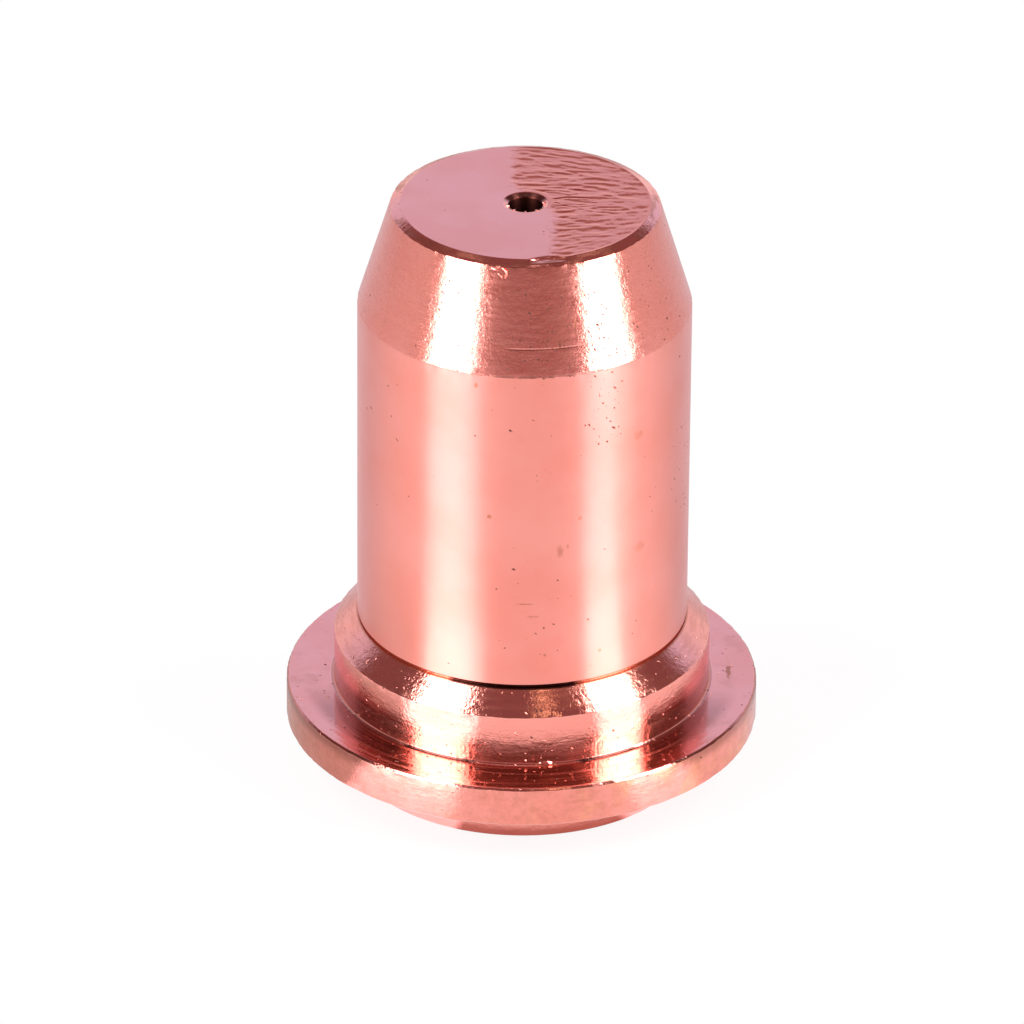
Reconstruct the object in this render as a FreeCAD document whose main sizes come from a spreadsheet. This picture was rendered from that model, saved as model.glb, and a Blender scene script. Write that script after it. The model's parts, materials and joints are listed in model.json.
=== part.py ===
import FreeCAD, Part
import math
import os

import Sketcher

# Plasma torch nozzle, turned from one copper bar and hollow from the rear.
# Millimetres. +Z runs along the turning axis, from the rear spigot to the orifice.
# The origin is the centre of the spigot's rear face.

# Driving dimensions: alias, value, meaning. Lengths in millimetres, angles in degrees.
DRIVING_DIMENSIONS = [
    ("overall_height", 18.73, "rear face to flat front face"),
    ("spigot_diameter", 10.5, "rear spigot that centres in the torch's gas ring"),
    ("spigot_length", 1.47, "rear face to the flange's underside"),
    ("flange_diameter", 14.3, "seating flange that the torch's cap clamps"),
    ("flange_thickness", 1.26, "flange's underside to its front"),
    ("edge_break", 0.06, "small chamfer on the corners of flange and spigot"),
    ("collar_step", 0.7, "collar's wall stands this far out from the barrel's"),
    ("collar_length", 1.62, "flange front to the collar's sharp crest"),
    ("root_fillet", 0.1, "tool radius where collar and spigot meet the flange"),
    ("shoulder_angle", 42.0, "slope of the shoulder ring above the rear plane"),
    ("barrel_diameter", 10.0, "straight body"),
    ("relief_depth", 0.1, "undercut round the barrel's foot"),
    ("relief_width", 0.12, "height of that undercut"),
    ("nose_length", 3.28, "barrel's crest to the flat front face"),
    ("nose_taper", 17.0, "slope of the nose's side from the axis"),
    ("bevel_width", 0.31, "bevel round the flat face, across the radius"),
    ("bevel_drop", 0.12, "bevel's fall, along the axis"),
    ("chamber_diameter", 7.0, "bore that takes the electrode"),
    ("chamber_mouth_chamfer", 0.4, "lead-in at the rear"),
    ("chamber_floor_angle", 118.0, "included angle of the conical floor"),
    ("orifice_diameter", 1.0, "hole that the arc leaves by"),
    ("orifice_length", 1.8, "straight land from the floor to the flat face"),
    ("orifice_mouth_diameter", 1.35, "countersink at the flat face"),
    ("orifice_mouth_angle", 130.0, "included angle of that countersink"),
]

TOLERANCE = 1e-4
FULL_TURN = 360.0
RIGHT_ANGLE = 90.0
STRAIGHT_ANGLE = 180.0

# Point numbers that sketch constraints use: the ends of an edge, a circle's middle.
START = 1
END = 2
CENTRE = 3
# The sketch's own origin point.
ORIGIN = (-1, START)


def make_size_sheet(document):
    """Write the driving dimensions into a spreadsheet, one aliased cell each."""
    sheet = document.addObject("Spreadsheet::Sheet", "sizes")
    for row, (alias, value, meaning) in enumerate(DRIVING_DIMENSIONS, start=1):
        sheet.set(f"A{row}", alias)
        sheet.set(f"B{row}", str(value))
        sheet.set(f"C{row}", meaning)
        sheet.setAlias(f"B{row}", alias)
    document.recompute()
    return sheet


def origin_plane(body, role):
    """Return one of the body's own origin planes."""
    for feature in body.Origin.OriginFeatures:
        if feature.Role == role:
            return feature
    raise LookupError(role)


def new_sketch(body, name, role):
    """Start a sketch on one of the body's own planes."""
    sketch = body.newObject("Sketcher::SketchObject", name)
    sketch.AttachmentSupport = [(origin_plane(body, role), "")]
    sketch.MapMode = "FlatFace"
    return sketch


def tangent(degrees):
    return math.tan(math.radians(degrees))


def flange_front_height(size):
    """Height of the flange's front face above the spigot's rear face."""
    return size.spigot_length + size.flange_thickness


def draw_closed_outline(sketch, corners):
    """Join the named corners with straight edges, first corner on the origin.

    Edges that start out level or upright are held so. Returns each corner's
    place in the sketch: the number of the edge that starts there, and START.
    """
    points = [FreeCAD.Vector(across, up, 0) for _, across, up in corners]
    for begin, finish in zip(points, points[1:] + points[:1]):
        edge = sketch.addGeometry(Part.LineSegment(begin, finish), False)
        if abs(begin.y - finish.y) < TOLERANCE:
            sketch.addConstraint(Sketcher.Constraint("Horizontal", edge))
        elif abs(begin.x - finish.x) < TOLERANCE:
            sketch.addConstraint(Sketcher.Constraint("Vertical", edge))
    for edge in range(len(corners)):
        following = (edge + 1) % len(corners)
        sketch.addConstraint(Sketcher.Constraint("Coincident", edge, END, following, START))
    sketch.addConstraint(Sketcher.Constraint("Coincident", 0, START, *ORIGIN))
    return {name: (edge, START) for edge, (name, _, _) in enumerate(corners)}


def measured(sketch, kind, begin, finish):
    """Give the distance that the sketch already has between two points."""
    gap = sketch.getPoint(*finish) - sketch.getPoint(*begin)
    return gap.x if kind == "DistanceX" else gap.y


def dimension(sketch, name, kind, begin, finish, formula):
    """Add a named distance between two points and bind it to the sheet."""
    value = measured(sketch, kind, begin, finish)
    index = sketch.addConstraint(Sketcher.Constraint(kind, *begin, *finish, value))
    sketch.renameConstraint(index, name)
    sketch.setExpression("Constraints." + name, formula)


def slope(sketch, name, edge, degrees, formula):
    """Add a named direction to an edge and bind it to the sheet."""
    angle = FreeCAD.Units.Quantity(degrees, FreeCAD.Units.Angle)
    index = sketch.addConstraint(Sketcher.Constraint("Angle", edge, angle))
    sketch.renameConstraint(index, name)
    sketch.setExpression("Constraints." + name, formula)


def turn_outer_form(body, size):
    """Revolve the outer outline: spigot, flange, collar, shoulder, relief, barrel, nose."""
    sketch = new_sketch(body, "outer_outline", "XZ_Plane")
    spigot = size.spigot_diameter / 2
    flange = size.flange_diameter / 2
    barrel = size.barrel_diameter / 2
    collar = barrel + size.collar_step
    relief = barrel - size.relief_depth
    front = flange_front_height(size)
    crest = front + size.collar_length
    shoulder = crest + size.collar_step * tangent(size.shoulder_angle)
    nose = barrel - (size.nose_length - size.bevel_drop) * tangent(size.nose_taper)
    face = nose - size.bevel_width
    corner = draw_closed_outline(sketch, [
        ("rear_centre", 0, 0),
        ("spigot_rear", spigot, 0),
        ("spigot_root", spigot, size.spigot_length),
        ("flange_rear", flange, size.spigot_length),
        ("flange_front", flange, front),
        ("collar_root", collar, front),
        ("collar_crest", collar, crest),
        ("shoulder_top", barrel, shoulder),
        ("relief_floor", relief, shoulder),
        ("relief_top", relief, shoulder + size.relief_width),
        ("barrel_foot", barrel, shoulder + size.relief_width),
        ("barrel_crest", barrel, size.overall_height - size.nose_length),
        ("nose_end", nose, size.overall_height - size.bevel_drop),
        ("face_edge", face, size.overall_height),
        ("face_centre", 0, size.overall_height),
    ])

    def radius(name, at, formula):
        dimension(sketch, name, "DistanceX", ORIGIN, corner[at], formula)

    def step(name, inner, outer, formula):
        dimension(sketch, name, "DistanceX", corner[inner], corner[outer], formula)

    def rise(name, begin, finish, formula):
        dimension(sketch, name, "DistanceY", corner[begin], corner[finish], formula)

    radius("spigot_radius", "spigot_rear", "sizes.spigot_diameter / 2")
    radius("flange_radius", "flange_rear", "sizes.flange_diameter / 2")
    radius("barrel_radius", "barrel_foot", "sizes.barrel_diameter / 2")
    radius("shoulder_radius", "shoulder_top", "sizes.barrel_diameter / 2")
    step("collar_stand_out", "shoulder_top", "collar_crest", "sizes.collar_step")
    step("relief_cut", "relief_floor", "shoulder_top", "sizes.relief_depth")
    step("bevel_run", "face_edge", "nose_end", "sizes.bevel_width")
    rise("spigot_height", "spigot_rear", "spigot_root", "sizes.spigot_length")
    rise("flange_height", "flange_rear", "flange_front", "sizes.flange_thickness")
    rise("collar_height", "collar_root", "collar_crest", "sizes.collar_length")
    rise("relief_height", "relief_floor", "relief_top", "sizes.relief_width")
    rise("nose_height", "barrel_crest", "face_centre", "sizes.nose_length")
    rise("bevel_height", "nose_end", "face_edge", "sizes.bevel_drop")
    rise("face_height", "rear_centre", "face_centre", "sizes.overall_height")
    slope(sketch, "shoulder_slope", corner["collar_crest"][0],
          STRAIGHT_ANGLE - size.shoulder_angle,
          "180 deg - sizes.shoulder_angle * 1 deg")
    slope(sketch, "nose_slope", corner["barrel_crest"][0],
          RIGHT_ANGLE + size.nose_taper,
          "90 deg + sizes.nose_taper * 1 deg")

    revolution = body.newObject("PartDesign::Revolution", "outer_form")
    revolution.Profile = sketch
    revolution.ReferenceAxis = (sketch, ["V_Axis"])
    revolution.Angle = FULL_TURN
    body.Document.recompute()
    return revolution


def bore_chamber(body, size):
    """Cut the electrode chamber, whose conical floor leaves the orifice its land."""
    sketch = new_sketch(body, "chamber_outline", "XZ_Plane")
    wall = size.chamber_diameter / 2
    land = size.orifice_diameter / 2
    land_start = size.overall_height - size.orifice_length
    half_floor_angle = size.chamber_floor_angle / 2
    corner = draw_closed_outline(sketch, [
        ("mouth_centre", 0, 0),
        ("mouth", wall, 0),
        ("wall_top", wall, land_start - (wall - land) / tangent(half_floor_angle)),
        ("floor_centre", 0, land_start + land / tangent(half_floor_angle)),
    ])
    floor_edge = corner["wall_top"][0]
    # The floor passes through the edge where the orifice's land starts.
    land_edge = FreeCAD.Vector(land, land_start, 0)
    land_point = (sketch.addGeometry(Part.Point(land_edge), True), START)
    dimension(sketch, "chamber_radius", "DistanceX", ORIGIN, corner["mouth"],
              "sizes.chamber_diameter / 2")
    dimension(sketch, "land_radius", "DistanceX", ORIGIN, land_point,
              "sizes.orifice_diameter / 2")
    dimension(sketch, "land_height", "DistanceY", ORIGIN, land_point,
              "sizes.overall_height - sizes.orifice_length")
    sketch.addConstraint(Sketcher.Constraint("PointOnObject", *land_point, floor_edge))
    slope(sketch, "floor_slope", floor_edge,
          RIGHT_ANGLE + half_floor_angle,
          "90 deg + sizes.chamber_floor_angle / 2 * 1 deg")

    groove = body.newObject("PartDesign::Groove", "chamber")
    groove.Profile = sketch
    groove.ReferenceAxis = (sketch, ["V_Axis"])
    groove.Angle = FULL_TURN
    body.Document.recompute()
    return groove


def drill_orifice(body, size):
    """Drill the orifice through the flat face, with its small countersink."""
    sketch = new_sketch(body, "orifice_centre", "XY_Plane")
    sketch.setExpression("AttachmentOffset.Base.z", "sizes.overall_height")
    circle = Part.Circle(FreeCAD.Vector(), FreeCAD.Vector(0, 0, 1), size.orifice_diameter / 2)
    edge = sketch.addGeometry(circle, False)
    sketch.addConstraint(Sketcher.Constraint("Coincident", edge, CENTRE, *ORIGIN))
    index = sketch.addConstraint(Sketcher.Constraint("Diameter", edge, size.orifice_diameter))
    sketch.renameConstraint(index, "orifice_diameter")
    sketch.setExpression("Constraints.orifice_diameter", "sizes.orifice_diameter")
    body.Document.recompute()

    hole = body.newObject("PartDesign::Hole", "orifice")
    hole.Profile = sketch
    hole.ThreadType = "None"
    hole.DepthType = "ThroughAll"
    hole.HoleCutType = "Countersink"
    hole.setExpression("Diameter", "sizes.orifice_diameter")
    hole.setExpression("HoleCutDiameter", "sizes.orifice_mouth_diameter")
    hole.setExpression("HoleCutCountersinkAngle", "sizes.orifice_mouth_angle * 1 deg")
    body.Document.recompute()
    return hole


def round_edges_at(feature, radius, height):
    """Name the feature's full circles of one radius at one height."""
    names = []
    for number, edge in enumerate(feature.Shape.Edges, start=1):
        if not isinstance(edge.Curve, Part.Circle):
            continue
        same_radius = abs(edge.Curve.Radius - radius) < TOLERANCE
        same_height = abs(edge.Curve.Center.z - height) < TOLERANCE
        if same_radius and same_height:
            names.append(f"Edge{number}")
    if not names:
        raise LookupError(f"no round edge of radius {radius} at height {height}")
    return names


def dress_edges(body, kind, name, size_property, formula, base, rings):
    """Chamfer or fillet the base feature's round edges, given as radius and height."""
    edges = [edge for radius, height in rings for edge in round_edges_at(base, radius, height)]
    feature = body.newObject("PartDesign::" + kind, name)
    feature.Base = (base, edges)
    feature.setExpression(size_property, formula)
    body.Document.recompute()
    return feature


def make_nozzle(document, size):
    """Build the nozzle as one body, in the order in which a lathe would cut it."""
    body = document.addObject("PartDesign::Body", "nozzle")
    body.Label = "nozzle"
    outer_form = turn_outer_form(body, size)
    chamber = bore_chamber(body, size)
    orifice = drill_orifice(body, size)
    spigot = size.spigot_diameter / 2
    flange = size.flange_diameter / 2
    collar = size.barrel_diameter / 2 + size.collar_step
    front = flange_front_height(size)
    roots = dress_edges(
        body, "Fillet", "flange_roots", "Radius", "sizes.root_fillet", orifice,
        [(spigot, size.spigot_length), (collar, front)])
    corners = dress_edges(
        body, "Chamfer", "outer_corners", "Size", "sizes.edge_break", roots,
        [(spigot, 0), (flange, size.spigot_length), (flange, front)])
    mouth = dress_edges(
        body, "Chamfer", "chamber_mouth", "Size", "sizes.chamber_mouth_chamfer", corners,
        [(size.chamber_diameter / 2, 0)])
    body.Tip = mouth
    body.Placement = FreeCAD.Placement()
    document.recompute()
    check_order_of_volumes([outer_form, chamber, orifice, roots, corners, mouth])
    return body


def check_order_of_volumes(features):
    """Every cut has to remove metal; the root fillets alone add some."""
    for before, after in zip(features, features[1:]):
        change = after.Shape.Volume - before.Shape.Volume
        adds = after.Name == "flange_roots"
        if adds != (change > 0) or abs(change) < TOLERANCE:
            raise ValueError(f"{after.Name} changed the volume by {change:.4f} mm3")
        print(f"{after.Name}: {change:+.3f} mm3")


def check_document(document, bodies):
    """Stop before anything is written if an object failed or a solid isn't sound."""
    for item in document.Objects:
        if {"Invalid", "Error"} & set(item.State):
            raise RuntimeError(f"{item.Name} failed: {item.State}")
        if item.TypeId == "Sketcher::SketchObject" and not item.FullyConstrained:
            raise RuntimeError(f"{item.Name} has a size that nothing sets")
    for body in bodies:
        shape = body.Shape
        if shape.isNull() or not shape.isValid() or len(shape.Solids) != 1:
            raise RuntimeError(f"{body.Label} is not one sound solid")


def write_parts(bodies):
    """Write each sub-part to its own file, named after its label."""
    os.makedirs("parts", exist_ok=True)
    for body in bodies:
        body.Shape.exportStep(f"parts/{body.Label}.step")
        box = body.Shape.BoundBox
        print(f"{body.Label}: {box.XLength:.2f} x {box.YLength:.2f} x {box.ZLength:.2f} mm,"
              f" {body.Shape.Volume:.1f} mm3")


def main():
    document = FreeCAD.newDocument("plasma_torch_nozzle")
    size = make_size_sheet(document)
    bodies = [make_nozzle(document, size)]
    check_document(document, bodies)
    write_parts(bodies)


main()
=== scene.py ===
# %% [markdown]
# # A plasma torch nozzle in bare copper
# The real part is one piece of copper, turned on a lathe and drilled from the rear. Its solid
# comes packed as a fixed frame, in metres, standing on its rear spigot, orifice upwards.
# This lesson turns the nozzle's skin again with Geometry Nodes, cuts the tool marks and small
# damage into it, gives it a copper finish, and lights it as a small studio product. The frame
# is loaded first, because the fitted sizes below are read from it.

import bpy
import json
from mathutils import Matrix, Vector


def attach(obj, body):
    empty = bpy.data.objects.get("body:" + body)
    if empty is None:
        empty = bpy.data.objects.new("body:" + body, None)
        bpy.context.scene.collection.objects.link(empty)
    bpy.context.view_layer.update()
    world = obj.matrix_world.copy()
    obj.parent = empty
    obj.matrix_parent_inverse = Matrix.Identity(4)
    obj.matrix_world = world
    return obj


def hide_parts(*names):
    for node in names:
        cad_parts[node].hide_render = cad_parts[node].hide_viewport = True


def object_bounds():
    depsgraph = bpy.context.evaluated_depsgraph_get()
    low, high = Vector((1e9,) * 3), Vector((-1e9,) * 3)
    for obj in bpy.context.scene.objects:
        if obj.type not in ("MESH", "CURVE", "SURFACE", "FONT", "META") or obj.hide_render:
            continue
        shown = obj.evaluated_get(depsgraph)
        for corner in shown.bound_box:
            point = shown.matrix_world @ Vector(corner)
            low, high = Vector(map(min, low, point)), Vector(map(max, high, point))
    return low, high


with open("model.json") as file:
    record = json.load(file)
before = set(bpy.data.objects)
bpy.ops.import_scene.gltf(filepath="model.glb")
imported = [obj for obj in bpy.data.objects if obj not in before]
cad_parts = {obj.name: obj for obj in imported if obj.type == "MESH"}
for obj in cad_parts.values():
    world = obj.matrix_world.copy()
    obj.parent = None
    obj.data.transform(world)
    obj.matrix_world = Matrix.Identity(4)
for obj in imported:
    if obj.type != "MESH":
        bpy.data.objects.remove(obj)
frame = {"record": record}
cad_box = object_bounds()
print("packed box, metres:", cad_box)

# %% [markdown]
# ## Sizes that other parts fit
# A turned part is described by radii and heights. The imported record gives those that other
# parts fit: spigot, flange, collar, barrel, chamber and orifice. Reading them keeps the skin
# true to the solid if a size changes. Blender counts in metres, a turner in millimetres, so
# the lesson works in millimetres and multiplies by MM only where a mesh or a curve is filled.

# %% Read the fitted sizes
import json
import math

import bpy
from mathutils import Matrix, Vector

MM = 0.001


def fitted(name):
    """Radius, lowest and highest point of a round fit in the record, in millimetres."""
    for mount in frame["record"]["mounts"]:
        if mount["name"] == name:
            radius = mount["dims"]["r_mm"]
            half = mount["dims"]["length_mm"] / 2
            middle = mount["pos_m"][2] / MM
            return radius, middle - half, middle + half
    raise LookupError(name)


SPIGOT_R, SPIGOT_LOW, _ = fitted("spigot")
RIM_R, RIM_LOW, RIM_HIGH = fitted("flange_rim")
COLLAR_R, COLLAR_LOW, COLLAR_HIGH = fitted("collar")
BARREL_R, BARREL_LOW, BARREL_HIGH = fitted("barrel")
CHAMBER_R, CHAMBER_LOW, CHAMBER_HIGH = fitted("electrode_bore")
ORIFICE_R, ORIFICE_LOW, ORIFICE_HIGH = fitted("orifice")
TOP = cad_box[1][2] / MM
print(f"barrel {2 * BARREL_R:.1f} mm, flange {2 * RIM_R:.1f} mm, height {TOP:.1f} mm")

# %% [markdown]
# ## Sizes of the small edges
# Small edges fit nothing, so the record doesn't list them. Some follow from the fits, such as
# the root fillet, which ends where the collar's wall starts. The others are named here, as a
# turner's drawing would give them.

# %% Name the small edges
EDGE_BREAK = SPIGOT_LOW
FLANGE_BOTTOM = RIM_LOW - EDGE_BREAK
FLANGE_TOP = RIM_HIGH + EDGE_BREAK
ROOT_FILLET = COLLAR_LOW - FLANGE_TOP
RELIEF_DEPTH = 0.1
RELIEF_WIDTH = 0.12
NOSE_END_R = 4.0339
BEVEL_WIDTH = 0.31
BEVEL_DROP = 0.12
FACE_R = NOSE_END_R - BEVEL_WIDTH
MOUTH_R = 0.675
print(f"root fillet {ROOT_FILLET:.2f} mm, flat face {2 * FACE_R:.2f} mm across")

# %% [markdown]
# ## Small helpers for node trees
# Geometry and shader trees are both built by adding nodes and linking sockets. A few short
# functions keep that readable: `add` makes a node, `feed` links a socket or sets its value,
# and `maths` writes one step of arithmetic. Both kinds of tree know these nodes. A field that
# is one in some zone and nothing elsewhere is narrowed by a `product` and joined to another
# one by the `greatest` of both.

# %% Node helpers


def add(tree, kind, **settings):
    node = tree.nodes.new(kind)
    for name, value in settings.items():
        setattr(node, name, value)
    return node


def feed(tree, socket, value):
    if isinstance(value, bpy.types.NodeSocket):
        tree.links.new(value, socket)
    else:
        socket.default_value = value


def maths(tree, operation, *values):
    node = add(tree, "ShaderNodeMath", operation=operation)
    for socket, value in zip(node.inputs, values):
        feed(tree, socket, value)
    return node.outputs[0]


def product(tree, result, *factors):
    for factor in factors:
        result = maths(tree, "MULTIPLY", result, factor)
    return result


def greatest(tree, result, *others):
    for other in others:
        result = maths(tree, "MAXIMUM", result, other)
    return result


print("helpers for nodes and numbers are ready")

# %% Vector helpers


def length(tree, vector):
    node = add(tree, "ShaderNodeVectorMath", operation="LENGTH")
    feed(tree, node.inputs[0], vector)
    return node.outputs["Value"]


def scaled(tree, vector, factor):
    node = add(tree, "ShaderNodeVectorMath", operation="SCALE")
    feed(tree, node.inputs[0], vector)
    feed(tree, node.inputs["Scale"], factor)
    return node.outputs[0]


def joined(tree, x, y, z):
    node = add(tree, "ShaderNodeCombineXYZ")
    for socket, value in zip(node.inputs, (x, y, z)):
        feed(tree, socket, value)
    return node.outputs[0]


def parted(tree, vector):
    node = add(tree, "ShaderNodeSeparateXYZ")
    feed(tree, node.inputs[0], vector)
    return node.outputs[0], node.outputs[1], node.outputs[2]


print("helpers for vectors are ready")

# %% [markdown]
# ## Ramps, windows and noise
# Most marks are a noise held inside a window: a range of heights, of radii, or of angles
# round the axis. `ramp` is a soft step, `window` is two of them back to back, and `noise` is
# Blender's own noise. Angles are measured in degrees from the front, growing to the right.

# %% Field helpers


def ramp(tree, value, low, high, bottom=0.0, top=1.0):
    """Smooth step from bottom to top while value goes from low to high."""
    node = add(tree, "ShaderNodeMapRange", interpolation_type="SMOOTHSTEP")
    for name, setting in (("Value", value), ("From Min", low), ("From Max", high),
                          ("To Min", bottom), ("To Max", top)):
        feed(tree, node.inputs[name], setting)
    return node.outputs["Result"]


def window(tree, value, low, high, soft):
    """One between low and high, fading to nothing over a soft edge outside them."""
    rise = ramp(tree, value, low - soft, low)
    fall = ramp(tree, value, high, high + soft, 1.0, 0.0)
    return product(tree, rise, fall)


def noise(tree, place, scale, detail=2.0, roughness=0.5, distortion=0.0):
    node = add(tree, "ShaderNodeTexNoise", noise_dimensions="3D")
    feed(tree, node.inputs["Vector"], place)
    node.inputs["Scale"].default_value = scale
    node.inputs["Detail"].default_value = detail
    node.inputs["Roughness"].default_value = roughness
    node.inputs["Distortion"].default_value = distortion
    return node.outputs[0]


def turn_angle(tree, x, y):
    """Degrees round the axis: 0 at the front, positive to the right."""
    return maths(tree, "DEGREES", maths(tree, "ARCTAN2", x, product(tree, y, -1.0)))


print("helpers for fields are ready")

# %% [markdown]
# ## The section of the wall
# A lathe part is one section swept round an axis, so its whole form is a closed outline of
# radius and height. Real corners are never perfectly sharp: each gets a tiny arc, which is
# what catches the light along an edge. A scored line crosses part of the nose, where the tool
# stopped and started again, so three more corners lie in the nose's slope.

# %% Places on the nose
SCORE_HEIGHT = FLANGE_TOP + 13.54
SCORE_HALF = 0.03
SCORE_DEPTH = 0.012


def on_nose(height, depth=0.0):
    """Radius and height on the nose's slope, or a little below its surface."""
    low, high = Vector((BARREL_R, BARREL_HIGH)), Vector((NOSE_END_R, TOP - BEVEL_DROP))
    along = (high - low).normalized()
    point = low.lerp(high, (height - low.y) / (high.y - low.y))
    return point - Vector((along.y, -along.x)) * depth


SCORE_LOW = on_nose(SCORE_HEIGHT - SCORE_HALF)
SCORE_FLOOR = on_nose(SCORE_HEIGHT, SCORE_DEPTH)
SCORE_HIGH = on_nose(SCORE_HEIGHT + SCORE_HALF)
print(f"scored line at {SCORE_FLOOR.y:.2f} mm, {SCORE_DEPTH} mm deep")

# %% List the corners
CRISP = 0.01
SHARP = 0.02
SOFT = 0.05
DRILL_TIP_ROUNDING = 0.2
MOUTH_ROUNDING = 0.12
# Name, radius, height, rounding of the corner, and row spacing up to the next corner.
SECTION = [
    ("rear face", CHAMBER_R + CHAMBER_LOW, 0, SOFT, 0.4),
    ("spigot rear break", SPIGOT_R - EDGE_BREAK, 0, SHARP, 0.1),
    ("spigot", SPIGOT_R, SPIGOT_LOW, SHARP, 0.25),
    ("flange rear", SPIGOT_R, FLANGE_BOTTOM, ROOT_FILLET, 0.3),
    ("rim rear break", RIM_R - EDGE_BREAK, FLANGE_BOTTOM, SHARP, 0.1),
    ("rim", RIM_R, RIM_LOW, SHARP, 0.12),
    ("rim front break", RIM_R, RIM_HIGH, SHARP, 0.07),
    ("flange front", RIM_R - EDGE_BREAK, FLANGE_TOP, SHARP, 0.11),
    ("collar wall", COLLAR_R, FLANGE_TOP, ROOT_FILLET, 0.11),
    ("shoulder", COLLAR_R, COLLAR_HIGH, SHARP, 0.09),
    ("relief floor", BARREL_R, BARREL_LOW - RELIEF_WIDTH, CRISP, 0.1),
    ("relief wall", BARREL_R - RELIEF_DEPTH, BARREL_LOW - RELIEF_WIDTH, CRISP, 0.1),
    ("relief roof", BARREL_R - RELIEF_DEPTH, BARREL_LOW, CRISP, 0.1),
    ("barrel", BARREL_R, BARREL_LOW, CRISP, 0.3),
    ("nose", BARREL_R, BARREL_HIGH, SHARP, 0.14),
    ("score low", SCORE_LOW.x, SCORE_LOW.y, CRISP, 0.1),
    ("score floor", SCORE_FLOOR.x, SCORE_FLOOR.y, CRISP, 0.1),
    ("score high", SCORE_HIGH.x, SCORE_HIGH.y, CRISP, 0.14),
    ("bevel", NOSE_END_R, TOP - BEVEL_DROP, SHARP, 0.05),
    ("flat face", FACE_R, TOP, SHARP, 0.05),
    ("countersink", MOUTH_R, TOP, MOUTH_ROUNDING, 0.06),
    ("land", ORIFICE_R, ORIFICE_HIGH, MOUTH_ROUNDING / 2, 0.3),
    ("chamber floor", ORIFICE_R, ORIFICE_LOW, SHARP, 0.5),
    ("chamber wall", CHAMBER_R, CHAMBER_HIGH, DRILL_TIP_ROUNDING, 1.2),
    ("chamber mouth", CHAMBER_R, CHAMBER_LOW, SOFT, 0.3),
]
print(len(SECTION), "corners round the wall")

# %% [markdown]
# ## Rounding and dividing the section
# Each corner becomes an arc, in coarse steps where it is tiny and in fine ones where it is
# large enough to show, as round the mouth of the orifice. Smooth shading blends the light over
# the whole strip next to an arc, which would make a 0.02 mm edge look a quarter of a
# millimetre wide. A guard row close to each arc keeps that blend narrow.

# %% Arcs and rows
TINY_ARC_STEP = 32
ARC_STEP = 9
TINY = 0.05
GUARD = 0.012


def arc_at(before, corner, after, radius):
    """Points of a small arc that rounds one corner of the outline."""
    towards, away = (before - corner).normalized(), (after - corner).normalized()
    half_angle = towards.angle(away) / 2
    reach = radius / math.tan(half_angle)
    start, end = corner + towards * reach, corner + away * reach
    centre = corner + (towards + away).normalized() * (radius / math.sin(half_angle))
    step_degrees = TINY_ARC_STEP if radius <= TINY else ARC_STEP
    steps = max(1, round(math.degrees(math.pi - 2 * half_angle) / step_degrees))
    points = []
    for step in range(steps + 1):
        chord = start.lerp(end, step / steps)
        points.append(centre + (chord - centre).normalized() * radius)
    return points


def rows_between(start, end, spacing):
    """Points strictly between two arcs: a guard row at each end and even rows between."""
    gap = (end - start).length
    if gap < 4 * GUARD:
        return []
    rows = max(1, round(gap / spacing))
    shares = [GUARD / gap, 1 - GUARD / gap]
    shares += [row / rows for row in range(1, rows)]
    return [start.lerp(end, share) for share in sorted(shares)]


print("arcs up to", TINY, "mm get a step for each", TINY_ARC_STEP, "degrees")

# %% Draw the section


def section_points():
    """The closed outline as (radius, height) points in millimetres."""
    corners = [Vector((radius, height)) for _, radius, height, _, _ in SECTION]
    arcs = []
    for index, (_, _, _, rounding, _) in enumerate(SECTION):
        before, after = corners[index - 1], corners[(index + 1) % len(corners)]
        arcs.append(arc_at(before, corners[index], after, rounding))
    outline = []
    for index, (_, _, _, _, spacing) in enumerate(SECTION):
        following = arcs[(index + 1) % len(arcs)][0]
        outline += arcs[index]
        outline += rows_between(arcs[index][-1], following, spacing)
    return outline


outline = section_points()
section_curve = bpy.data.curves.new("nozzle_section", "CURVE")
section_curve.dimensions = "3D"
spline = section_curve.splines.new("POLY")
spline.points.add(len(outline) - 1)
for point, (radius, height) in zip(spline.points, outline):
    point.co = (radius * MM, height * MM, 0, 1)
spline.use_cyclic_u = True
print(f"section: {len(outline)} points")

# %% [markdown]
# ## Turning the section
# Geometry Nodes can do what the lathe does. A circle of directions is swept with the section,
# and each point is then set to its own radius in its own direction, so the radii are exact.
# The two captured attributes, the direction and the place in the section, stay known on every
# point of the mesh. All later marks are written in them.

# %% Build the lathe tree
AROUND = 288
lathe = bpy.data.node_groups.new("turn_nozzle", "GeometryNodeTree")
interface = lathe.interface
interface.new_socket("Section", in_out="INPUT", socket_type="NodeSocketGeometry")
interface.new_socket("Points Around", in_out="INPUT", socket_type="NodeSocketInt")
for depth in ("Chatter Depth", "Edge Wear", "Nick Depth"):
    interface.new_socket(depth, in_out="INPUT", socket_type="NodeSocketFloat")
for finish in ("Turned Finish", "Faced Finish", "Bored Finish"):
    interface.new_socket(finish, in_out="INPUT", socket_type="NodeSocketMaterial")
interface.new_socket("Geometry", in_out="OUTPUT", socket_type="NodeSocketGeometry")
given = add(lathe, "NodeGroupInput")
made = add(lathe, "NodeGroupOutput")
print("inputs:", [item.name for item in interface.items_tree if item.in_out == "INPUT"])

# %% Sweep the section round


def captured(geometry, value):
    """Keep a vector on each point, so that it can be read after the sweep."""
    node = add(lathe, "GeometryNodeCaptureAttribute", domain="POINT")
    node.capture_items.new("VECTOR", "Kept")
    feed(lathe, node.inputs["Geometry"], geometry)
    feed(lathe, node.inputs["Kept"], value)
    return node.outputs["Geometry"], node.outputs["Kept"]


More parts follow.
